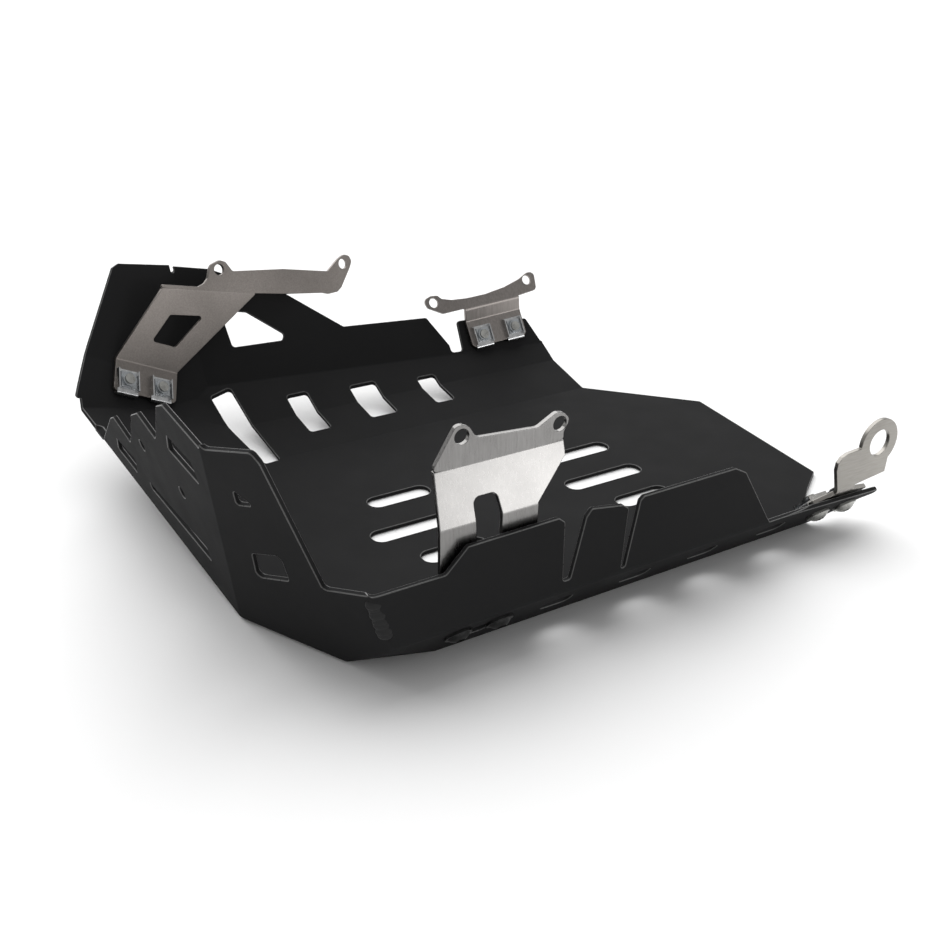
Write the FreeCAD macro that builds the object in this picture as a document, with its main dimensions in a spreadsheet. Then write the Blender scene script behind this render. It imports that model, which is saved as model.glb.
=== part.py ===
import FreeCAD, Part
import math
import os

# Engine guard for a motorcycle: a folded sheet tub with four stainless brackets clamped inside it.
# Millimetres, +Z up, +X towards the rear wheel, +Y towards the far side. The underside is at z = 0.

Vector = FreeCAD.Vector
doc = FreeCAD.newDocument("engine_guard")
sheet = doc.addObject("Spreadsheet::Sheet", "sizes")

# Sizes of the sheet metal and of the fixings
sizes = {
    "plate_thickness": 3,
    "plate_fold_radius": 2.5,
    "bracket_thickness": 3,
    "bracket_fold_radius": 3,
    "clip_thickness": 1,
    "clip_width": 17,
    "clip_reach": 8.5,
    "clip_edge": 9.5,
    "clip_lip_height": 3,
    "clip_lip_length": 16,
    "nut_width": 12,
    "nut_height": 2,
    "collar_width": 11,
    "collar_height": 1.5,
    "thread_width": 8,
    "thread_clearance": 0.2,
    "fixing_hole_width": 9,
    "flange_width": 16,
    "flange_height": 1.5,
    "dome_width": 13.6,
    "dome_height": 3.2,
    "hex_width": 5,
    "hex_depth": 3,
    "shank_length": 12.5,
    "ear_hole_width": 8.5,
    "eye_width": 18,
    "eye_ring_width": 33,
}

# Every flat of the tub: heading and slope of its outward side in degrees, and how far out it meets the floor
panels = {
    "floor": (0, 0, 0),
    "nose_side": (-154.4, 71.4, 176.3),
    "near_corner": (-109.3, 37.1, 172.7),
    "near_low": (-90, 48.6, 155),
    "near_wall": (-90, 90, 185),
    "far_ramp": (90, 12.7, 120.4),
    "far_bank": (90, 30.5, 150.2),
    "far_wall": (87.4, 62, 186.3),
    "wing": (113.4, 62.9, 207.7),
    "wing_low": (118.6, 56.9, 202.7),
    "gusset": (129.1, 27.9, 160.9),
    "gutter": (155.5, 23, 117.1),
    "nose": (-176, 77.6, 166.8),
}

# Cut edges. A point is a station along the flat and a height, except on the floor and ramps, where it is x, y
outlines = {
    "far_wall_edge": [(-60.7, 117.5), (-3.8, 92.5), (38.9, 61.9), (115.5, 58.3), (131, 34), (131.5, 28.3),
                      (142.6, 28), (143.6, 51.8), (152.5, 51.6), (212, 44.9), (222, 24.5)],
    "far_wall_window": [(-59.2, 77), (-57.5, 59.8), (-15.8, 59.1), (-13, 63.3), (-39.5, 83.2), (-47.6, 84.8)],
    "wing_edge": [(-91.9, 124), (-134.3, 134.1), (-139.5, 132.5), (-176.7, 84.4), (-188.5, 68)],
    "wing_low_edge": [(-173, 89.2), (-187.1, 70), (-192.3, 62.4), (-192.8, 56), (-192.6, 50)],
    "nose_edge": [(127.2, 44.6), (119.6, 49.7), (69.8, 82.9), (59.7, 87.3), (38.5, 77.4), (29.8, 84.6),
                  (4.6, 108.9), (-12.2, 116.3), (-33.1, 107.8), (-37.4, 111.1), (-64.8, 139.6), (-77.8, 144.8)],
    "nose_gill_1": [(76.4, 65.1), (44.2, 62.1), (56.1, 48.1), (84.7, 54.4)],
    "nose_gill_2": [(-63.2, 121.1), (-93.1, 117), (-92.4, 103.8), (-55.2, 110)],
    "nose_gill_3": [(28.8, 51.9), (-54.9, 44.3), (-53.3, 34.2), (29.9, 47.2)],
    "nose_side_edge": [(-154.3, 144), (-156.2, 139.3), (-156.5, 137.1), (-153.7, 61.4), (-155.9, 60.7)],
    "nose_side_window_1": [(-127.2, 113.6), (-123.8, 103.5), (-135.7, 106.4)],
    "nose_side_window_2": [(-113.9, 67.8), (-106.9, 48.9), (-131.2, 56.1), (-135, 74.5)],
    "near_wall_edge": [(-90, 68), (-77, 80.7), (-21, 81.3), (-17, 78), (-17, 41), (-12, 41), (-3, 77),
                       (0.6, 81.2), (22, 77.6), (26, 74.5), (23.2, 37.2), (26, 37.2), (33.9, 77), (36.5, 79.3),
                       (104.5, 79.3), (113.4, 74.5), (135.9, 38.4), (139, 34)],
    "near_low_tab": [(139, 34.5), (170, 33), (243, 25.3), (248.5, 24), (249.5, 19.5), (236, 17.8), (233.5, 11),
                     (209, 2)],
    "floor_rear_edge": [(223.3, 178), (221.5, 120), (288.5, 43), (268, -105), (243.5, -122), (208, -150)],
    "ramp_slot_1": [(-86.6, 198), (-82.8, 163), (-74.8, 117), (-62.1, 118), (-64.9, 168), (-68.6, 202.6)],
    "ramp_slot_2": [(-26, 143), (-8, 143), (-10.3, 186), (-28.3, 186)],
    "ramp_slot_3": [(28.2, 144), (51.7, 144), (49.7, 183), (26.2, 183)],
    "ramp_slot_4": [(88.9, 144), (105.9, 144), (104.1, 178), (87.1, 178)],
    "floor_slot_1": [(-37, 10), (10.5, 10), (10.5, 26), (-37, 26)],
    "floor_slot_2": [(-56.5, -35), (10, -35), (10, -19), (-56.5, -19)],
    "floor_slot_3": [(-40.5, -75), (6, -75), (6, -59), (-40.5, -59)],
    "floor_slot_4": [(103, 5), (165.5, 5), (165.5, 21), (103, 21)],
    "floor_slot_5": [(97.5, -39), (162, -39), (162, -23), (97.5, -23)],
    "floor_slot_6": [(113, -78), (157, -78), (157, -62), (113, -62)],
    "front_foot": [(-24.5, -7), (-22, -9.5), (25, -9.5), (27.5, -7), (29.5, 15.2), (-22.4, 15.2)],
    "front_window": [(2.1, 18.5), (22.6, 18.6), (38.9, 47.6), (11, 41.4)],
    "front_arm": [(0, 0), (81.3, 0), (110.4, 1.2), (148.3, 4.2), (154.1, 3.6), (163.5, 6), (167.7, 10),
                  (176.7, 27.6), (178.5, 32.9), (175.6, 37.3), (170.2, 37.9), (164.3, 34.2), (153.2, 22.6),
                  (108.4, 21.4), (61.1, 16.4), (54.7, 23.2), (49.2, 24.1), (41.9, 20.2), (40.3, 17.1), (38.8, 9.4),
                  (35.7, 5.3), (30.4, 2.4), (0, 2.4)],
    "far_foot": [(-28, -7), (-25.5, -9.5), (25.5, -9.5), (28, -7), (28, 13.5), (-28, 13.5)],
    "far_web": [(-28, 0), (28, 0), (28, 9), (-28, 9)],
    "far_ears": [(-27, 0), (28, 0), (47.7, 1.4), (49.6, 15.1), (47.1, 18), (42.6, 18.4), (33.2, 14.4),
                 (16, 10.4), (-4.4, 8.3), (-23.5, 8.5), (-38.2, 10.1), (-47.3, 13), (-50.4, 16.7), (-57.1, 17.4),
                 (-61.8, 16.1), (-63.5, 12.6), (-62, 7.8), (-49.2, 0)],
    "near_foot": [(-26, -7), (-23.5, -9.5), (23.5, -9.5), (26, -7), (26, 9), (-26, 9)],
    "near_leg": [(-26, 0), (26, 0), (25.1, 53), (-34.1, 53), (-33.5, 27), (-26, 18)],
    "near_opening_low": [(-10.3, 16), (2.7, 16), (4, 53), (-11.9, 53)],
    "near_body": [(-34.1, 0), (25.1, 0), (23.5, 28.4), (-55, 28.4), (-54.8, 21.1)],
    "near_opening_high": [(-12.8, -6), (4.1, -6), (3.9, 11.9), (-10.2, 11.9)],
    "near_ears": [(-55, 0), (23.6, 0), (22.7, 3.3), (12.9, 18.7), (10.5, 22.1), (7, 22.4), (2.9, 20.3),
                  (-1.3, 13.5), (-38.5, 10.7), (-49.9, 16.6), (-54.5, 15.6), (-58, 11.9), (-57.5, 8.5),
                  (-54.8, 4.4)],
    "rear_foot": [(-26, -7), (-23.5, -9.5), (19.5, -9.5), (22, -7), (22, 11), (10.8, 20), (-5.3, 20), (-26, 12)],
    "rear_plate": [(-5.3, 0), (10.8, 0), (14.2, 14.5), (13.6, 19.5), (10.4, 23), (5.5, 24.6), (-7, 25.2),
                   (-23, 26), (-33.6, 13.5), (-32.8, 2.8)],
}

# Where things sit: numbers that belong to one place only
places = {
    "outline_top": 190,
    "outline_rear": 292,
    "outline_front": -320,
    "outline_side": 330,
    "fold_notch_width": 3,
    "fold_notch_depth": 2,
    "far_wall_fold_height": 123,
    "nose_side_fold_height": 135.5,
    "nose_end_station": 127.2,
    "near_corner_height": 69,
    "corner_round": 3,
    "slot_round": 7.9,
    "ramp_slot_round": 3,
    "gill_round": 1.2,
    "nose_hole_width": 7,
    "nose_hole_1_station": 7.2,
    "nose_hole_1_height": 87.5,
    "nose_hole_2_station": -47.5,
    "nose_hole_2_height": 78.6,
    "low_slot_length": 19,
    "low_slot_width": 12,
    "low_slot_height": 18,
    "low_slot_round": 4,
    "low_slot_1_station": -65.5,
    "low_slot_2_station": -10.5,
    "low_slot_3_station": 46,
    "low_slot_4_station": 98.5,
    "low_slot_5_station": 156,
    "front_station": -140.8,
    "front_height": 53.6,
    "front_tilt": -32.4,
    "front_spacing": 28,
    "front_body_angle": 32,
    "front_body_left": -1.2,
    "front_body_height": 58.4,
    "front_body_width": 81.3,
    "front_body_rise": 12.3,
    "front_arm_angle": -10,
    "front_ear_1_along": 48.9,
    "front_ear_1_up": 16.7,
    "front_ear_2_along": 169,
    "front_ear_2_up": 30,
    "far_station": 178.7,
    "far_height": 39.8,
    "far_tilt": 4,
    "far_spacing": 32,
    "far_web_angle": 28,
    "far_ear_1_along": -55.5,
    "far_ear_1_up": 11.1,
    "far_ear_2_along": 40.5,
    "far_ear_2_up": 12,
    "near_station": -65,
    "near_height": 24.8,
    "near_spacing": 26,
    "near_leg_angle": 41.4,
    "near_body_angle": 17,
    "near_ear_1_along": 7.2,
    "near_ear_1_up": 15.8,
    "near_ear_2_along": -52.3,
    "near_ear_2_up": 9.6,
    "rear_station": 212,
    "rear_height": 18.5,
    "rear_spacing": 25,
    "rear_leg_angle": 41.4,
    "rear_eye_along": -22.9,
    "rear_eye_up": 25.7,
    "bracket_round": 4,
}

rows = []
rows.extend(sizes.items())
rows.extend(places.items())
for panel_name, (heading, slope, reach) in panels.items():
    rows.append((panel_name + "_heading", heading))
    rows.append((panel_name + "_slope", slope))
    rows.append((panel_name + "_reach", reach))
for outline_name, points in outlines.items():
    for number, (across, up) in enumerate(points, 1):
        rows.append((f"{outline_name}_{number}_across", across))
        rows.append((f"{outline_name}_{number}_up", up))
for row, (alias, value) in enumerate(rows, 1):
    sheet.set(f"A{row}", alias)
    sheet.set(f"B{row}", str(value))
    sheet.setAlias(f"B{row}", alias)
doc.recompute()


def size(alias):
    return float(sheet.get(alias))


def outline(name):
    count = len(outlines[name])
    return [(size(f"{name}_{n}_across"), size(f"{name}_{n}_up")) for n in range(1, count + 1)]


plate_thickness = size("plate_thickness")
plate_fold = size("plate_fold_radius")
bracket_thickness = size("bracket_thickness")
bracket_fold = size("bracket_fold_radius")
top = size("outline_top")
rear = size("outline_rear")
front = size("outline_front")
side = size("outline_side")
cut_margin = 2


# Planes of the tub
def plane(name):
    heading = math.radians(size(name + "_heading"))
    slope = math.radians(size(name + "_slope"))
    flat_part = math.sin(slope)
    normal = Vector(math.cos(heading) * flat_part, math.sin(heading) * flat_part, -math.cos(slope))
    return normal, size(name + "_reach") * flat_part


def on_plane(name, along, point):
    normal, offset = plane(name)
    if along == "x":
        return Vector(point[0], (offset - normal.x * point[0] - normal.z * point[1]) / normal.y, point[1])
    if along == "y":
        return Vector((offset - normal.y * point[0] - normal.z * point[1]) / normal.x, point[0], point[1])
    return Vector(point[0], point[1], (offset - normal.x * point[0] - normal.y * point[1]) / normal.z)


def on_fold(name, other, height):
    first, first_offset = plane(name)
    second, second_offset = plane(other)
    left = first_offset - first.z * height
    right = second_offset - second.z * height
    scale = first.x * second.y - first.y * second.x
    return Vector((left * second.y - right * first.y) / scale, (right * first.x - left * second.x) / scale, height)


# A closed wire through the points, each corner rounded as far as its sides allow
def rounded(points, radius):
    arcs = []
    for number, corner in enumerate(points):
        to_last = points[number - 1] - corner
        to_next = points[(number + 1) % len(points)] - corner
        room = 0.45 * min(to_last.Length, to_next.Length)
        half = to_last.getAngle(to_next) / 2
        to_last.normalize()
        to_next.normalize()
        reach = min(radius / math.tan(half), room)
        if radius == 0 or half > math.radians(88):
            arcs.append((corner, None, corner))
            continue
        middle = to_last + to_next
        middle.normalize()
        depth = reach / math.cos(half) - reach * math.tan(half)
        arcs.append((corner + to_last * reach, corner + middle * depth, corner + to_next * reach))
    edges = []
    for number, (start, middle, end) in enumerate(arcs):
        if middle is not None:
            edges.append(Part.Arc(start, middle, end).toShape())
        edges.append(Part.makeLine(end, arcs[(number + 1) % len(arcs)][0]))
    return Part.Wire(edges)


def through_panel(name, points, radius):
    normal, offset = plane(name)
    face = Part.Face(rounded(points, radius))
    face.translate(normal * cut_margin)
    return face.extrude(normal * -(plate_thickness + plate_fold + 2 * cut_margin))


def panel_cut(name, along, outline_name, radius):
    return through_panel(name, [on_plane(name, along, point) for point in outline(outline_name)], radius)


def upright_cut(points, radius):
    face = Part.Face(rounded([Vector(x, y, -cut_margin) for x, y in points], radius))
    return face.extrude(Vector(0, 0, top))


def panel_hole(name, centre, width):
    normal, offset = plane(name)
    depth = plate_thickness + 2 * cut_margin
    return Part.makeCylinder(width / 2, depth, centre + normal * cut_margin, -normal)


# The closed tub: a faceted core grown by the fold radius, less the same core grown by less
def tub(names):
    inset = plate_thickness + plate_fold
    core = Part.makeBox(rear - front, 2 * side, top + inset, Vector(front, -side, -inset))
    for name in names:
        normal, offset = plane(name)
        block = Part.makeBox(4 * side, 4 * side, 2 * side, Vector(-2 * side, -2 * side, 0))
        turn = FreeCAD.Rotation(Vector(0, 0, 1), normal)
        block.Placement = FreeCAD.Placement(normal * (offset - inset), turn)
        core = core.cut(block)
    outer = core.makeOffsetShape(inset, 0.001, join=0)
    inner = core.makeOffsetShape(plate_fold, 0.001, join=0)
    return outer.cut(inner)


without_nose = [name for name in panels if name != "nose"]
nose_end = size("nose_end_station")
beyond_nose = Part.makeBox(side, side, 2 * side, Vector(front, nose_end, -side))
shell = tub(list(panels)).cut(beyond_nose).fuse(tub(without_nose).common(beyond_nose))
lid = Part.makeBox(4 * side, 4 * side, side, Vector(-2 * side, -2 * side, top - cut_margin))
back = Part.makeBox(side, 4 * side, 2 * side, Vector(rear - cut_margin, -2 * side, -side))
shell = shell.cut(lid).cut(back)

cutters = []
corner_round = size("corner_round")

# Free edge of the far wall
height = size("far_wall_fold_height")
points = [on_fold("far_wall", "wing", height)]
points.extend(on_plane("far_wall", "x", point) for point in outline("far_wall_edge"))
points.append(on_plane("far_wall", "x", (rear, outline("far_wall_edge")[-1][1])))
points.append(on_plane("far_wall", "x", (rear, top)))
points.append(on_fold("far_wall", "wing", top))
cutters.append(through_panel("far_wall", points, corner_round))
cutters.append(panel_cut("far_wall", "x", "far_wall_window", corner_round))

# Free edges of the wing, with the relief notch at the top of its fold
points = [on_fold("wing", "far_wall", height)]
points.extend(on_plane("wing", "x", point) for point in outline("wing_edge"))
points.append(on_plane("wing", "x", (front + 60, outline("wing_edge")[-1][1])))
points.append(on_plane("wing", "x", (front + 60, top)))
points.append(on_fold("wing", "far_wall", top))
cutters.append(through_panel("wing", points, corner_round))
notch_width = size("fold_notch_width")
notch_depth = size("fold_notch_depth")
notch_point = on_fold("wing", "far_wall", height - notch_depth)
cutters.append(Part.makeCylinder(notch_width / 2, 40, notch_point - Vector(0, 20, 0), Vector(0, 1, 0)))
cutters.append(Part.makeBox(notch_width, 40, 3 * notch_depth, notch_point - Vector(notch_width / 2, 20, 0)))
points = [on_plane("wing_low", "x", point) for point in outline("wing_low_edge")]
points.append(on_plane("wing_low", "x", (-230, 40)))
points.append(on_plane("wing_low", "x", (-230, 130)))
cutters.append(through_panel("wing_low", points, corner_round))

# Free edge of the gutter, in line with the nose's fold
fold_start = on_fold("nose", "gutter", size("nose_edge_1_up"))
fold_end = on_fold("nose", "gutter", size("wing_low_edge_4_up"))
along_fold = fold_end - fold_start
along_fold.normalize()
points = []
for centre, shift in ((fold_start, -30), (fold_end, 60)):
    point = centre + along_fold * shift
    points.append(point)
for point in (points[1], points[0]):
    points.append(on_plane("gutter", "z", (point.x - 110, point.y)))
cutters.append(through_panel("gutter", points, 0).common(beyond_nose))

# Free edge of the nose, its gills and its two small holes
points = [on_fold("nose", "gutter", size("nose_edge_1_up") + 3)]
points.extend(on_plane("nose", "y", point) for point in outline("nose_edge"))
points.append(on_fold("nose", "nose_side", size("nose_side_fold_height")))
points.append(on_fold("nose", "nose_side", top))
points.append(on_plane("nose", "y", (points[0].y, top)))
cutters.append(through_panel("nose", points, corner_round))
for name in ("nose_gill_1", "nose_gill_2", "nose_gill_3"):
    cutters.append(panel_cut("nose", "y", name, size("gill_round")))
for number in (1, 2):
    centre = (size(f"nose_hole_{number}_station"), size(f"nose_hole_{number}_height"))
    cutters.append(panel_hole("nose", on_plane("nose", "y", centre), size("nose_hole_width")))

# Free edge of the nose's side panel and its windows
points = [on_fold("nose_side", "nose", size("nose_side_fold_height"))]
points.extend(on_plane("nose_side", "y", point) for point in outline("nose_side_edge"))
points.append(on_fold("nose_side", "near_wall", size("near_corner_height")))
points.append(on_fold("nose_side", "near_wall", top))
points.append(on_fold("nose_side", "nose", top))
cutters.append(through_panel("nose_side", points, corner_round))
cutters.append(panel_cut("nose_side", "y", "nose_side_window_1", 1.5))
cutters.append(panel_cut("nose_side", "y", "nose_side_window_2", corner_round))

# Free edge of the near wall with its notches
points = [on_fold("near_wall", "nose_side", size("near_corner_height") - 1)]
points.extend(on_plane("near_wall", "x", point) for point in outline("near_wall_edge"))
points.append(on_plane("near_wall", "x", (rear, outline("near_wall_edge")[-1][1])))
points.append(on_plane("near_wall", "x", (rear, top)))
points.append(on_fold("near_wall", "nose_side", top))
cutters.append(through_panel("near_wall", points, 2))

# The tab behind the near low wall, and that wall's slots
points = [on_plane("near_low", "x", point) for point in outline("near_low_tab")]
points.append(on_plane("near_low", "x", (points[-1].x - 2, -8)))
points.append(on_plane("near_low", "x", (rear, -8)))
points.append(on_plane("near_low", "x", (rear, 60)))
points.append(on_plane("near_low", "x", (points[0].x, 60)))
cutters.append(through_panel("near_low", points, corner_round))
normal, offset = plane("near_low")
slope = math.radians(size("near_low_slope"))
half_length = size("low_slot_length") / 2
half_rise = size("low_slot_width") / 2 * math.sin(slope)
slot_height = size("low_slot_height")
for number in range(1, 6):
    station = size(f"low_slot_{number}_station")
    corners = [(station + sign_x * half_length, slot_height + sign_z * half_rise)
               for sign_x, sign_z in ((-1, -1), (1, -1), (1, 1), (-1, 1))]
    corners = [on_plane("near_low", "x", corner) for corner in corners]
    cutters.append(through_panel("near_low", corners, size("low_slot_round")))

# Floor and ramps
points = outline("floor_rear_edge")
points = [(points[0][0], side)] + points + [(2 * rear, points[-1][1]), (2 * rear, side)]
cutters.append(upright_cut(points, corner_round))
for number in range(1, 7):
    cutters.append(upright_cut(outline(f"floor_slot_{number}"), size("slot_round")))
for number in range(1, 5):
    cutters.append(upright_cut(outline(f"ramp_slot_{number}"), size("ramp_slot_round")))


# A bracket's flat lies in a frame: origin, direction along the fold, direction up the flat, direction inward
def wall_frame(panel_name, station, height, tilt):
    normal, offset = plane(panel_name)
    inner = offset - plate_thickness
    y = (inner - normal.x * station - normal.z * height) / normal.y
    heading = math.radians(size(panel_name + "_heading"))
    slope = math.radians(size(panel_name + "_slope"))
    rising = Vector(math.cos(heading) * math.cos(slope), math.sin(heading) * math.cos(slope), math.sin(slope))
    level = rising.cross(normal * -1)
    turn = math.radians(tilt)
    along = level * math.cos(turn) + rising * math.sin(turn)
    up = rising * math.cos(turn) - level * math.sin(turn)
    origin = Vector(station, y, height) - normal * size("clip_thickness")
    return origin, along, up, normal * -1


def at(frame, across, up, depth=0):
    origin, along, rising, inward = frame
    return origin + along * across + rising * up + inward * depth


def flat(frame, points, radius):
    face = Part.Face(rounded([at(frame, *point) for point in points], radius))
    return face.extrude(frame[3] * bracket_thickness)


def hole(frame, across, up, width):
    start = at(frame, across, up, -cut_margin)
    return Part.makeCylinder(width / 2, bracket_thickness + 2 * cut_margin, start, frame[3])


def bend(frame, height, left, right, angle):
    origin, along, rising, inward = frame
    corners = [at(frame, left, height), at(frame, right, height), at(frame, right, height, bracket_thickness),
               at(frame, left, height, bracket_thickness)]
    face = Part.Face(Part.makePolygon(corners + corners[:1]))
    centre_depth = bracket_thickness + bracket_fold if angle > 0 else -bracket_fold
    centre = at(frame, 0, height, centre_depth)
    sector = face.revolve(centre, along, angle)
    turn = FreeCAD.Rotation(along, angle)
    new_origin = centre + turn.multVec(at(frame, 0, height) - centre)
    return sector, (new_origin, along, turn.multVec(rising), turn.multVec(inward))


def turned(frame, across, up, angle):
    origin, along, rising, inward = frame
    turn = FreeCAD.Rotation(inward, angle)
    return at(frame, across, up), turn.multVec(along), turn.multVec(rising), inward


def joined(solids, holes):
    shape = solids[0].multiFuse(solids[1:]).removeSplitter()
    return shape.cut(Part.makeCompound(holes))


def foot_holes(frame, spacing):
    return [hole(frame, sign * spacing / 2, 0, size("fixing_hole_width")) for sign in (-1, 1)]


bracket_round = size("bracket_round")
ear_width = size("ear_hole_width")

# Front bracket, on the wing
front_frame = wall_frame("wing_low", size("front_station"), size("front_height"), size("front_tilt"))
foot = outline("front_foot")
curl, body_frame = bend(front_frame, foot[-1][1], foot[-1][0], foot[-2][0], size("front_body_angle"))
arm_frame = turned(body_frame, size("front_body_left"), size("front_body_height"), size("front_body_rise"))
body_right = at(arm_frame, size("front_body_width"), 0)
body_corners = [at(body_frame, foot[-1][0], 0), at(body_frame, foot[-2][0], 0), body_right, arm_frame[0]]
body = Part.Face(Part.makePolygon(body_corners + body_corners[:1])).extrude(body_frame[3] * bracket_thickness)
arm_curl, arm_frame = bend(arm_frame, 0, 0, size("front_body_width"), size("front_arm_angle"))
arm = flat(arm_frame, outline("front_arm"), 3)
body = body.cut(flat(body_frame, outline("front_window"), 2))
holes = foot_holes(front_frame, size("front_spacing"))
for number in (1, 2):
    holes.append(hole(arm_frame, size(f"front_ear_{number}_along"), size(f"front_ear_{number}_up"), ear_width))
foot_flat = flat(front_frame, foot, 0)
front_bracket = joined([foot_flat, curl, body, arm_curl, arm], holes)

# Far bracket, on the far wall
far_frame = wall_frame("far_wall", size("far_station"), size("far_height"), size("far_tilt"))
foot = outline("far_foot")
web = outline("far_web")
curl, web_frame = bend(far_frame, foot[-1][1], foot[-1][0], foot[-2][0], size("far_web_angle"))
web_curl, ear_frame = bend(web_frame, web[-1][1], web[-1][0], web[-2][0], -size("far_web_angle"))
holes = foot_holes(far_frame, size("far_spacing"))
for number in (1, 2):
    holes.append(hole(ear_frame, size(f"far_ear_{number}_along"), size(f"far_ear_{number}_up"), ear_width))
solids = [flat(far_frame, foot, 0), curl, flat(web_frame, web, 0), web_curl]
solids.append(flat(ear_frame, outline("far_ears"), bracket_round))
far_bracket = joined(solids, holes)

# Near bracket, behind the near wall
near_frame = wall_frame("near_low", size("near_station"), size("near_height"), 0)
foot = outline("near_foot")
leg = outline("near_leg")
body = outline("near_body")
curl, leg_frame = bend(near_frame, foot[-1][1], foot[-1][0], foot[-2][0], size("near_leg_angle"))
leg_curl, body_frame = bend(leg_frame, leg[2][1], body[0][0], body[1][0], size("near_body_angle"))
body_curl, ear_frame = bend(body_frame, body[2][1], body[3][0], body[2][0], -size("near_body_angle"))
holes = foot_holes(near_frame, size("near_spacing"))
for number in (1, 2):
    holes.append(hole(ear_frame, size(f"near_ear_{number}_along"), size(f"near_ear_{number}_up"), ear_width))
opening_low = outline("near_opening_low")
opening_high = outline("near_opening_high")
opening_curl, opening_frame = bend(leg_frame, leg[2][1], opening_low[3][0], opening_low[2][0],
                                   size("near_body_angle"))
solids = [flat(near_frame, foot, 0), curl, flat(leg_frame, leg, 0).cut(flat(leg_frame, opening_low, 0)),
          leg_curl.cut(opening_curl), flat(body_frame, body, 0).cut(flat(body_frame, opening_high, bracket_round)),
          body_curl, flat(ear_frame, outline("near_ears"), bracket_round)]
near_bracket = joined(solids, holes)

# Rear bracket, on the tab
rear_frame = wall_frame("near_low", size("rear_station"), size("rear_height"), 0)
foot = outline("rear_foot")
rear_plate = outline("rear_plate")
curl, eye_frame = bend(rear_frame, foot[-2][1], foot[-2][0], foot[-3][0], size("rear_leg_angle"))
eye_along = size("rear_eye_along")
eye_up = size("rear_eye_up")
ring = Part.makeCylinder(size("eye_ring_width") / 2, bracket_thickness, at(eye_frame, eye_along, eye_up),
                         eye_frame[3])
holes = foot_holes(rear_frame, size("rear_spacing"))
holes.append(hole(eye_frame, eye_along, eye_up, size("eye_width")))
rear_bracket = joined([flat(rear_frame, foot, 0), curl, flat(eye_frame, rear_plate, 0), ring], holes)

# Fixing points: a frame for each, with its second direction away from the edge that the clip hugs
fixings = {}
for name, frame, panel_name in (("front", front_frame, "wing_low"), ("far", far_frame, "far_wall"),
                                ("near", near_frame, "near_low"), ("rear", rear_frame, "near_low")):
    origin, along, rising, inward = frame
    for number, sign in ((1, -1), (2, 1)):
        if name in ("near", "rear"):
            sign = -sign
        centre = at(frame, sign * size(f"{name}_spacing") / 2, 0)
        fixings[f"{name}_{number}"] = (centre, along, rising, inward)
        wall_side = centre - inward * (plate_thickness + size("clip_thickness"))
        cutters.append(Part.makeCylinder(size("fixing_hole_width") / 2, plate_thickness + 2 * cut_margin,
                                         wall_side - inward * cut_margin, inward))
centre, along, rising, inward = fixings["rear_1"]
fixings["rear_1"] = (centre, rising, along * -1, inward)

# The cuts leave scraps outside the outline: the guard is the largest piece
cut_shell = shell.cut(Part.makeCompound(cutters)).removeSplitter()
guard_plate = max(cut_shell.Solids, key=lambda solid: solid.Volume)

# Placing: the origin is the middle of the underside of the whole part
whole = guard_plate.optimalBoundingBox(False)
for shape in (front_bracket, far_bracket, near_bracket, rear_bracket):
    whole.add(shape.optimalBoundingBox(False))
shift = Vector(-whole.Center.x, -whole.Center.y, 0)

nodes = []


def keep(label, shape):
    feature = doc.addObject("Part::Feature", label)
    feature.Label = label
    feature.Shape = shape.Solids[0] if len(shape.Solids) == 1 else shape
    feature.Placement = FreeCAD.Placement(shift, FreeCAD.Rotation())
    nodes.append(feature)


keep("guard_plate", guard_plate)
keep("front_bracket", front_bracket)
keep("far_bracket", far_bracket)
keep("near_bracket", near_bracket)
keep("rear_bracket", rear_bracket)


# A body built from primitives; every expression reads the sheet
def add_primitive(body, kind, values, position):
    feature = doc.addObject("PartDesign::" + kind, body.Name + "_" + kind)
    body.addObject(feature)
    for name, expression in values.items():
        feature.setExpression(name, expression)
    for axis, expression in zip("xyz", position):
        feature.setExpression("Placement.Base." + axis, expression)
    return feature


def new_body(label, centre, along, up, inward):
    body = doc.addObject("PartDesign::Body", label)
    body.Label = label
    body.Placement = FreeCAD.Placement(centre + shift, FreeCAD.Rotation(along, up, inward, "ZXY"))
    nodes.append(body)
    return body


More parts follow.
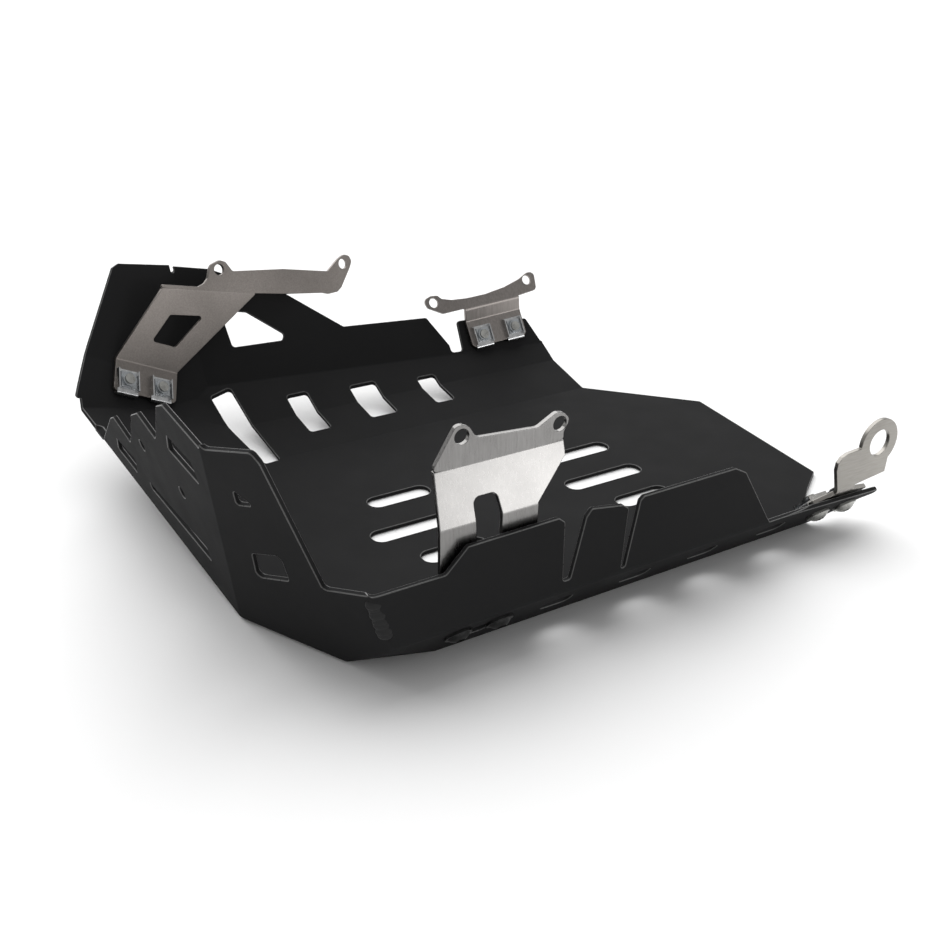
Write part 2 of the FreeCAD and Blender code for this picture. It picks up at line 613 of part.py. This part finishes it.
flat_turn = FreeCAD.Rotation(Vector(0, 1, 0), 90)
for fixing, (centre, along, up, inward) in fixings.items():
    bracket, number = fixing.split("_")

    # Folded clip round the bracket's foot: outer leg, half-round bend, inner leg, two lips beside the nut
    body = new_body(f"{bracket}_clip_{number}", centre, along, up, inward)
    leg_values = {"Length": "sizes.clip_width", "Width": "sizes.clip_reach + sizes.clip_edge",
                  "Height": "sizes.clip_thickness"}
    add_primitive(body, "AdditiveBox", leg_values,
                  ("-sizes.clip_width / 2", "-sizes.clip_edge", "-sizes.clip_thickness"))
    position = ("-sizes.clip_width / 2", "-sizes.clip_edge", "sizes.bracket_thickness / 2")
    for kind, radius in (("AdditiveCylinder", "sizes.bracket_thickness / 2 + sizes.clip_thickness"),
                         ("SubtractiveCylinder", "sizes.bracket_thickness / 2")):
        values = {"Radius": radius, "Height": "sizes.clip_width"}
        roll = add_primitive(body, kind, values, position)
        roll.Angle = 180
        roll.Placement.Rotation = FreeCAD.Rotation(Vector(0, 0, 1), Vector(0, -1, 0), Vector(1, 0, 0), "ZXY")
    add_primitive(body, "AdditiveBox", leg_values,
                  ("-sizes.clip_width / 2", "-sizes.clip_edge", "sizes.bracket_thickness"))
    lip_values = {"Length": "sizes.clip_thickness", "Width": "sizes.clip_lip_length",
                  "Height": "sizes.clip_lip_height + sizes.clip_thickness"}
    for lip_side in ("-sizes.clip_width / 2", "sizes.clip_width / 2 - sizes.clip_thickness"):
        add_primitive(body, "AdditiveBox", lip_values,
                      (lip_side, "-sizes.clip_lip_length / 2", "sizes.bracket_thickness"))
    hole_values = {"Radius": "sizes.fixing_hole_width / 2",
                   "Height": "sizes.bracket_thickness + 4 * sizes.clip_thickness"}
    add_primitive(body, "SubtractiveCylinder", hole_values, ("0", "0", "-2 * sizes.clip_thickness"))

    # Square nut with a round collar
    body = new_body(f"{bracket}_nut_{number}", centre, along, up, inward)
    nut_base = "sizes.bracket_thickness + sizes.clip_thickness"
    nut_values = {"Length": "sizes.nut_width", "Width": "sizes.nut_width", "Height": "sizes.nut_height"}
    add_primitive(body, "AdditiveBox", nut_values, ("-sizes.nut_width / 2", "-sizes.nut_width / 2", nut_base))
    collar_values = {"Radius": "sizes.collar_width / 2", "Height": "sizes.nut_height + sizes.collar_height"}
    add_primitive(body, "AdditiveCylinder", collar_values, ("0", "0", nut_base))
    bore_values = {"Radius": "sizes.thread_width / 2 + sizes.thread_clearance / 2",
                   "Height": nut_base + " + sizes.nut_height + sizes.collar_height + sizes.clip_thickness"}
    add_primitive(body, "SubtractiveCylinder", bore_values, ("0", "0", "0"))

    # Flanged button head screw, from outside
    body = new_body(f"{bracket}_screw_{number}", centre, along, up, inward)
    seat = "-sizes.plate_thickness - sizes.clip_thickness"
    flange_values = {"Radius": "sizes.flange_width / 2", "Height": "sizes.flange_height"}
    add_primitive(body, "AdditiveCylinder", flange_values, ("0", "0", seat + " - sizes.flange_height"))
    shank_values = {"Radius": "sizes.thread_width / 2", "Height": "sizes.shank_length"}
    add_primitive(body, "AdditiveCylinder", shank_values, ("0", "0", seat))
    dome_radius = "(sizes.dome_width ^ 2 / 4 + sizes.dome_height ^ 2) / (2 * sizes.dome_height)"
    dome_values = {"Radius": dome_radius, "Angle1": f"90 deg - asin(sizes.dome_width / 2 / ({dome_radius}))"}
    dome_depth = f"{seat} - sizes.flange_height + {dome_radius} - sizes.dome_height"
    dome = add_primitive(body, "AdditiveSphere", dome_values, ("0", "0", dome_depth))
    dome.Placement.Rotation = FreeCAD.Rotation(Vector(1, 0, 0), 180)
    hex_values = {"Circumradius": "sizes.hex_width / sqrt(3)", "Height": "sizes.hex_depth + sizes.flange_height"}
    add_primitive(body, "SubtractivePrism", hex_values,
                  ("0", "0", seat + " - 2 * sizes.flange_height - sizes.dome_height"))

doc.recompute()

# Check, then write every piece
for item in doc.Objects:
    for word in ("Invalid", "Error"):
        if word in item.State:
            raise RuntimeError(f"{item.Label}: {item.State}")
for node in nodes:
    if node.Shape.isNull() or not node.Shape.isValid() or len(node.Shape.Solids) != 1:
        raise RuntimeError(f"{node.Label}: not one valid solid ({len(node.Shape.Solids)})")

os.makedirs("parts", exist_ok=True)
for node in nodes:
    node.Shape.exportStep(f"parts/{node.Label}.step")
print(len(nodes), "pieces; shift", shift)
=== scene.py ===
import math

import bmesh
import bpy
from mathutils import Matrix, Vector
from mathutils.bvhtree import BVHTree


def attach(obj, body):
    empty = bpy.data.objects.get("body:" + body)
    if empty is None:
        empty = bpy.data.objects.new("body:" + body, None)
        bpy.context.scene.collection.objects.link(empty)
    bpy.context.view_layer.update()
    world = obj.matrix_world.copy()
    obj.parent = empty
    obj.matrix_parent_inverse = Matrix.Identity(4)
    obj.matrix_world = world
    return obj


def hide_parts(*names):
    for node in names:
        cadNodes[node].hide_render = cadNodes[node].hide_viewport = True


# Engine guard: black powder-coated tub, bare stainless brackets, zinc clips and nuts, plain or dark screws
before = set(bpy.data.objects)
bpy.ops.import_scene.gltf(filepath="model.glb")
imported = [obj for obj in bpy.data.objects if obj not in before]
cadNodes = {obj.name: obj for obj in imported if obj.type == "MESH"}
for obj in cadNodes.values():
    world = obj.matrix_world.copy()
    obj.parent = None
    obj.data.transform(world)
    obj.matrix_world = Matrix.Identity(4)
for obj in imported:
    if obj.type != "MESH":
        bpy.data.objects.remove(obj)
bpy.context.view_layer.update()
brackets = ("front", "far", "near", "rear")
print("frame loaded:", len(cadNodes), "nodes")

# The part of a noise's values that a ramp or a range is spread over
wideReach = (0.3, 0.7)
narrowReach = (0.35, 0.65)


def newMaterial(name):
    material = bpy.data.materials.new(name)
    material.use_nodes = True
    return material, material.node_tree.nodes["Principled BSDF"]


def noiseOn(tree, scale, detail, stretch=(1, 1, 1), turn=(0, 0, 0)):
    place = tree.nodes.new("ShaderNodeTexCoord")
    mapping = tree.nodes.new("ShaderNodeMapping")
    mapping.inputs["Scale"].default_value = stretch
    mapping.inputs["Rotation"].default_value = turn
    noise = tree.nodes.new("ShaderNodeTexNoise")
    noise.inputs["Scale"].default_value = scale
    noise.inputs["Detail"].default_value = detail
    tree.links.new(place.outputs["Object"], mapping.inputs["Vector"])
    tree.links.new(mapping.outputs["Vector"], noise.inputs["Vector"])
    return noise


def rampFrom(tree, source, dark, light, reach):
    ramp = tree.nodes.new("ShaderNodeValToRGB")
    low, high = ramp.color_ramp.elements
    low.position, high.position = reach
    low.color = (*dark, 1)
    high.color = (*light, 1)
    tree.links.new(source.outputs["Fac"], ramp.inputs["Fac"])
    return ramp


def rangeFrom(tree, source, low, high):
    spread = tree.nodes.new("ShaderNodeMapRange")
    spread.inputs["From Min"].default_value = wideReach[0]
    spread.inputs["From Max"].default_value = wideReach[1]
    spread.inputs["To Min"].default_value = low
    spread.inputs["To Max"].default_value = high
    tree.links.new(source.outputs["Fac"], spread.inputs["Value"])
    return spread


def bumpFrom(tree, source, strength, distance, below=None):
    bump = tree.nodes.new("ShaderNodeBump")
    bump.inputs["Strength"].default_value = strength
    bump.inputs["Distance"].default_value = distance
    tree.links.new(source.outputs["Fac"], bump.inputs["Height"])
    if below is not None:
        tree.links.new(below.outputs["Normal"], bump.inputs["Normal"])
    return bump


# Satin powder coat: near black, a fine grain, a slow orange peel and a slightly uneven gloss
coat = {
    "dark": (0.0165, 0.0165, 0.0169),
    "light": (0.0185, 0.0185, 0.0189),
    "ior": 1.09,
    "rough": (0.58, 0.66),
    "patches": {"scale": 6, "detail": 3},
    "gloss": {"scale": 36, "detail": 4},
    "peel": {"scale": 260, "detail": 2},
    "peelBump": {"strength": 0.10, "distance": 0.0003},
    "grain": {"scale": 1500, "detail": 2},
    "grainBump": {"strength": 0.22, "distance": 0.00012},
}


def makeCoat():
    material, shader = newMaterial("satinPowderCoat")
    tree = material.node_tree
    patches = noiseOn(tree, **coat["patches"])
    ramp = rampFrom(tree, patches, coat["dark"], coat["light"], narrowReach)
    tree.links.new(ramp.outputs["Color"], shader.inputs["Base Color"])
    gloss = noiseOn(tree, **coat["gloss"])
    spread = rangeFrom(tree, gloss, *coat["rough"])
    tree.links.new(spread.outputs["Result"], shader.inputs["Roughness"])
    peel = noiseOn(tree, **coat["peel"])
    grain = noiseOn(tree, **coat["grain"])
    peelBump = bumpFrom(tree, peel, **coat["peelBump"])
    grainBump = bumpFrom(tree, grain, **coat["grainBump"], below=peelBump)
    tree.links.new(grainBump.outputs["Normal"], shader.inputs["Normal"])
    shader.inputs["IOR"].default_value = coat["ior"]
    return material


# The coat thins and shines where it runs over an eased edge or the weld; on the eased edges it is also
# painted lighter, a painted highlight
thinCoatAndHighlight = {
    "onEdgeHighlighted": {"colour": (0.040, 0.040, 0.039), "ior": 1.55, "rough": 0.30},
    "onWeld": {"colour": (0.0170, 0.0170, 0.0172), "ior": 1.22, "rough": 0.42},
    "gloss": {"scale": 260, "detail": 3},
    "roughSwing": 0.04,
}


def makeThinCoatAndHighlight(name, colour, ior, rough):
    material, shader = newMaterial(name)
    tree = material.node_tree
    shader.inputs["Base Color"].default_value = (*colour, 1)
    gloss = noiseOn(tree, **thinCoatAndHighlight["gloss"])
    spread = rangeFrom(tree, gloss, rough - thinCoatAndHighlight["roughSwing"], rough + thinCoatAndHighlight["roughSwing"])
    tree.links.new(spread.outputs["Result"], shader.inputs["Roughness"])
    shader.inputs["IOR"].default_value = ior
    return material


# Bare metal: brushed along the axis whose stretch is smallest, or grainy where all three are the same
metal = {
    "streaks": {"scale": 1, "detail": 5},
    "streakBump": {"strength": 0.12, "distance": 0.00006},
    "clouds": {"scale": 22, "detail": 4},
    "cloudDark": (0.84, 0.84, 0.84),
    "cloudLight": (1, 1, 1),
}
# The bracket steels are one stainless steel, each set lighter or darker for its light: painted light and
# shade
metalFinishesAndShades = {
    "brushedSteelFront": {
        "dark": (0.20, 0.181, 0.167),
        "light": (0.26, 0.238, 0.222),
        "rough": (0.34, 0.42),
        "stretch": (900, 90, 900),
        "turn": (0, 0.6, 0.2),
    },
    "brushedSteelFar": {
        "dark": (0.23, 0.210, 0.197),
        "light": (0.30, 0.276, 0.260),
        "rough": (0.34, 0.42),
        "stretch": (900, 900, 90),
    },
    "brushedSteelNear": {
        "dark": (0.235, 0.230, 0.225),
        "light": (0.280, 0.274, 0.268),
        "rough": (0.26, 0.31),
        "stretch": (900, 900, 90),
    },
    "brushedSteelRear": {
        "dark": (0.31, 0.296, 0.273),
        "light": (0.37, 0.355, 0.331),
        "rough": (0.32, 0.40),
        "stretch": (90, 900, 900),
    },
    "brightZinc": {
        "dark": (0.46, 0.465, 0.47),
        "light": (0.66, 0.665, 0.67),
        "rough": (0.18, 0.30),
        "stretch": (300, 300, 300),
    },
    "zincNut": {
        "dark": (0.34, 0.36, 0.37),
        "light": (0.50, 0.52, 0.54),
        "rough": (0.24, 0.36),
        "stretch": (200, 200, 200),
    },
    "darkScrew": {
        "dark": (0.030, 0.030, 0.030),
        "light": (0.052, 0.052, 0.052),
        "rough": (0.30, 0.42),
        "stretch": (260, 260, 260),
    },
    "plainScrew": {
        "dark": (0.34, 0.34, 0.325),
        "light": (0.50, 0.50, 0.475),
        "rough": (0.24, 0.36),
        "stretch": (260, 260, 260),
    },
}


def makeMetal(name, dark, light, rough, stretch, turn=(0, 0, 0)):
    material, shader = newMaterial(name)
    tree = material.node_tree
    streaks = noiseOn(tree, **metal["streaks"], stretch=stretch, turn=turn)
    ramp = rampFrom(tree, streaks, dark, light, wideReach)
    clouds = noiseOn(tree, **metal["clouds"])
    cloudRamp = rampFrom(tree, clouds, metal["cloudDark"], metal["cloudLight"], narrowReach)
    mix = tree.nodes.new("ShaderNodeMix")
    mix.data_type = "RGBA"
    mix.blend_type = "MULTIPLY"
    mix.inputs["Factor"].default_value = 1
    tree.links.new(ramp.outputs["Color"], mix.inputs["A"])
    tree.links.new(cloudRamp.outputs["Color"], mix.inputs["B"])
    tree.links.new(mix.outputs["Result"], shader.inputs["Base Color"])
    spread = rangeFrom(tree, streaks, *rough)
    tree.links.new(spread.outputs["Result"], shader.inputs["Roughness"])
    bump = bumpFrom(tree, streaks, **metal["streakBump"])
    tree.links.new(bump.outputs["Normal"], shader.inputs["Normal"])
    shader.inputs["Metallic"].default_value = 1
    return material


coatMaterial = makeCoat()
# The edge coat is lighter than the tub's coat: a painted highlight along the cut edges
edgeCoatHighlightMaterial = makeThinCoatAndHighlight("coatOnEdgesHighlighted", **thinCoatAndHighlight["onEdgeHighlighted"])
weldCoatMaterial = makeThinCoatAndHighlight("coatOnWeld", **thinCoatAndHighlight["onWeld"])
metalOf = {name: makeMetal(name, **finish) for name, finish in metalFinishesAndShades.items()}
print("materials made")


def pieceFrom(form, name, materials):
    mesh = bpy.data.meshes.new(name)
    form.to_mesh(mesh)
    form.free()
    for material in materials:
        mesh.materials.append(material)
    piece = bpy.data.objects.new(name, mesh)
    bpy.context.scene.collection.objects.link(piece)
    return piece


# A node's sheet with its cut edges eased, as a deburred and coated edge is
edges = {
    "plate": 0.0005,  # width of the easing on the tub
    "bracket": 0.0004,  # and on the brackets
    "easedAngle": 22,  # an edge that turns more than this is eased
    "creaseAngle": 50,  # and after that, shading breaks where the turn is still more than this
    "flatAngle": 0.8,  # faces that turn less than this are one face
    "mergeGap": 0.000002,
    "mostGap": 0.5,  # share of the width that a point may stray from the sheet by
}


def easeEdges(form, width):
    surface = BVHTree.FromBMesh(form)
    easedAngle = math.radians(edges["easedAngle"])
    sharpEdges = [edge for edge in form.edges if edge.is_manifold and edge.calc_face_angle() > easedAngle]
    eased = bmesh.ops.bevel(form, geom=sharpEdges, offset=width, offset_type="OFFSET", affect="EDGES",
                            segments=2, profile=0.5, material=-1, clamp_overlap=False)
    # In a tight corner the easing overshoots, and what strays goes back onto the sheet
    for vert in form.verts:
        nearest = surface.find_nearest(vert.co)[0]
        if (nearest - vert.co).length > width * edges["mostGap"]:
            vert.co = nearest
    return eased["faces"]


def easedSheet(nodeName, pieceName, width, materials):
    form = bmesh.new()
    form.from_mesh(cadNodes[nodeName].data)
    bmesh.ops.remove_doubles(form, verts=form.verts, dist=edges["mergeGap"])
    bmesh.ops.dissolve_limit(form, angle_limit=math.radians(edges["flatAngle"]), verts=form.verts,
                             edges=form.edges, delimit={"NORMAL"})
    easedFaces = easeEdges(form, width)
    for face in form.faces:
        face.smooth = True
        face.material_index = 0
    # The eased faces take the last material; on the tub its lighter colour is a painted highlight
    for face in easedFaces:
        face.material_index = len(materials) - 1
    creaseAngle = math.radians(edges["creaseAngle"])
    for edge in form.edges:
        if edge.is_manifold and edge.calc_face_angle() > creaseAngle:
            edge.smooth = False
    piece = pieceFrom(form, pieceName, materials)
    weighted = piece.modifiers.new("weightedNormals", "WEIGHTED_NORMAL")
    weighted.keep_sharp = True
    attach(piece, "root")
    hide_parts(nodeName)


easedSheet("guard_plate", "coatedTub", edges["plate"], (coatMaterial, edgeCoatHighlightMaterial))
# Each bracket takes its own lit copy of the steel: painted light and shade
for bracket in brackets:
    steel = metalOf["brushedSteel" + bracket.capitalize()]
    easedSheet(bracket + "_bracket", bracket + "BracketSheet", edges["bracket"], (steel,))
print("sheets eased")

# Fixings keep their nodes and get their finishes
for bracket in brackets:
    # The near bracket's screws are made dark
    screwFinish = "darkScrew" if bracket == "near" else "plainScrew"
    for number in (1, 2):
        for kind, finish in (("clip", "brightZinc"), ("nut", "zincNut"), ("screw", screwFinish)):
            node = cadNodes[f"{bracket}_{kind}_{number}"]
            node.data.materials.clear()
            node.data.materials.append(metalOf[finish])
print("fixings finished")

# Weld bead up the near front corner: overlapping flat drops along the seam
# Breadth, flatness and wobble are shares of the radius
weld = {
    "low": (-0.1713, -0.2176, 0.0430),
    "high": (-0.1767, -0.2176, 0.0622),
    "outward": (-0.42, -0.90, -0.03),
    "drops": 10,
    "radius": 0.0042,
    "breadth": 0.85,
    "flatness": 0.50,
    "wobble": 0.08,
    "wobbleStep": 2.3,
    "around": 20,
    "rings": 12,
}


def addWeld():
    form = bmesh.new()
    low = Vector(weld["low"])
    high = Vector(weld["high"])
    outward = Vector(weld["outward"]).normalized()
    turn = outward.to_track_quat("Z", "Y").to_matrix().to_4x4()
    for number in range(weld["drops"]):
        share = number / (weld["drops"] - 1)
        size = weld["radius"] * (1 + weld["wobble"] * math.sin(number * weld["wobbleStep"]))
        place = Matrix.Translation(low.lerp(high, share))
        shape = Matrix.Diagonal((size, size * weld["breadth"], size * weld["flatness"], 1))
        bmesh.ops.create_uvsphere(form, u_segments=weld["around"], v_segments=weld["rings"], radius=1,
                                  matrix=place @ turn @ shape)
    for face in form.faces:
        face.smooth = True
    piece = pieceFrom(form, "cornerWeld", (weldCoatMaterial,))
    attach(piece, "root")


addWeld()
print("weld laid")

# The gap keeps the paper clear of the tub's underside, which rests at height 0
paper = {"size": 60, "gap": 0.0002, "colour": (0.94, 0.94, 0.94), "rough": 0.85, "specular": 0.1}


def addPaper():
    material, shader = newMaterial("palePaper")
    shader.inputs["Base Color"].default_value = (*paper["colour"], 1)
    shader.inputs["Roughness"].default_value = paper["rough"]
    shader.inputs["Specular IOR Level"].default_value = paper["specular"]
    form = bmesh.new()
    bmesh.ops.create_grid(form, x_segments=1, y_segments=1, size=paper["size"],
                          matrix=Matrix.Translation((0, 0, -paper["gap"])))
    floor = pieceFrom(form, "paleFloor", (material,))


# The white sky is brightest at the horizon, and has its own strength from the fade height up
sky = {"strength": 0.45, "horizon": 1.02, "fade": 0.3}


def addSky():
    world = bpy.data.worlds.new("paleStudio")
    bpy.context.scene.world = world
    world.use_nodes = True
    tree = world.node_tree
    backdrop = tree.nodes["Background"]
    backdrop.inputs["Color"].default_value = (1, 1, 1, 1)
    direction = tree.nodes.new("ShaderNodeTexCoord")
    parts = tree.nodes.new("ShaderNodeSeparateXYZ")
    fade = tree.nodes.new("ShaderNodeMapRange")
    fade.inputs["From Min"].default_value = 0
    fade.inputs["From Max"].default_value = sky["fade"]
    fade.inputs["To Min"].default_value = sky["horizon"]
    fade.inputs["To Max"].default_value = sky["strength"]
    tree.links.new(direction.outputs["Generated"], parts.inputs["Vector"])
    tree.links.new(parts.outputs["Z"], fade.inputs["Value"])
    tree.links.new(fade.outputs["Result"], backdrop.inputs["Strength"])


# A soft light overhead; a low card at the front gives the near bracket its glare
lamps = {
    "overhead": {"strength": 3.0, "spread": 82, "turn": (-36, 7, 0)},
    "card": {
        "place": (0.95, -1.80, 0.16),
        "aim": (-0.05, -0.18, 0.09),
        "width": 0.8,
        "height": 0.30,
        "power": 4.5,
    },
}


def addOverhead():
    settings = lamps["overhead"]
    light = bpy.data.lights.new("overheadLight", "SUN")
    light.energy = settings["strength"]
    light.angle = math.radians(settings["spread"])
    lamp = bpy.data.objects.new("overheadLight", light)
    lamp.rotation_euler = [math.radians(angle) for angle in settings["turn"]]
    bpy.context.scene.collection.objects.link(lamp)


def addCard():
    settings = lamps["card"]
    light = bpy.data.lights.new("lowCard", "AREA")
    light.shape = "RECTANGLE"
    light.size = settings["width"]
    light.size_y = settings["height"]
    light.energy = settings["power"]
    lamp = bpy.data.objects.new("lowCard", light)
    lamp.location = settings["place"]
    towards = Vector(settings["aim"]) - Vector(settings["place"])
    lamp.rotation_euler = towards.to_track_quat("-Z", "Y").to_euler()
    bpy.context.scene.collection.objects.link(lamp)


# The photo's own view: turned by the heading and tilted down, both in degrees
camera = {
    "place": (-0.36824, -0.63022, 0.355),
    "heading": 31,
    "down": 26,
    "lens": 41.459,
    "sensor": 36,
    "nearest": 0.01,
}


def addCamera():
    lens = bpy.data.cameras.new("photoCamera")
    lens.lens = camera["lens"]
    lens.sensor_width = camera["sensor"]
    lens.clip_start = camera["nearest"]
    photoCamera = bpy.data.objects.new("photoCamera", lens)
    photoCamera.location = camera["place"]
    photoCamera.rotation_euler = (math.radians(90 - camera["down"]), 0, math.radians(-camera["heading"]))
    bpy.context.scene.collection.objects.link(photoCamera)
    bpy.context.scene.camera = photoCamera


addPaper()
addSky()
addOverhead()
addCard()
addCamera()
bpy.context.scene.view_settings.view_transform = "Standard"
print("stage and camera set")
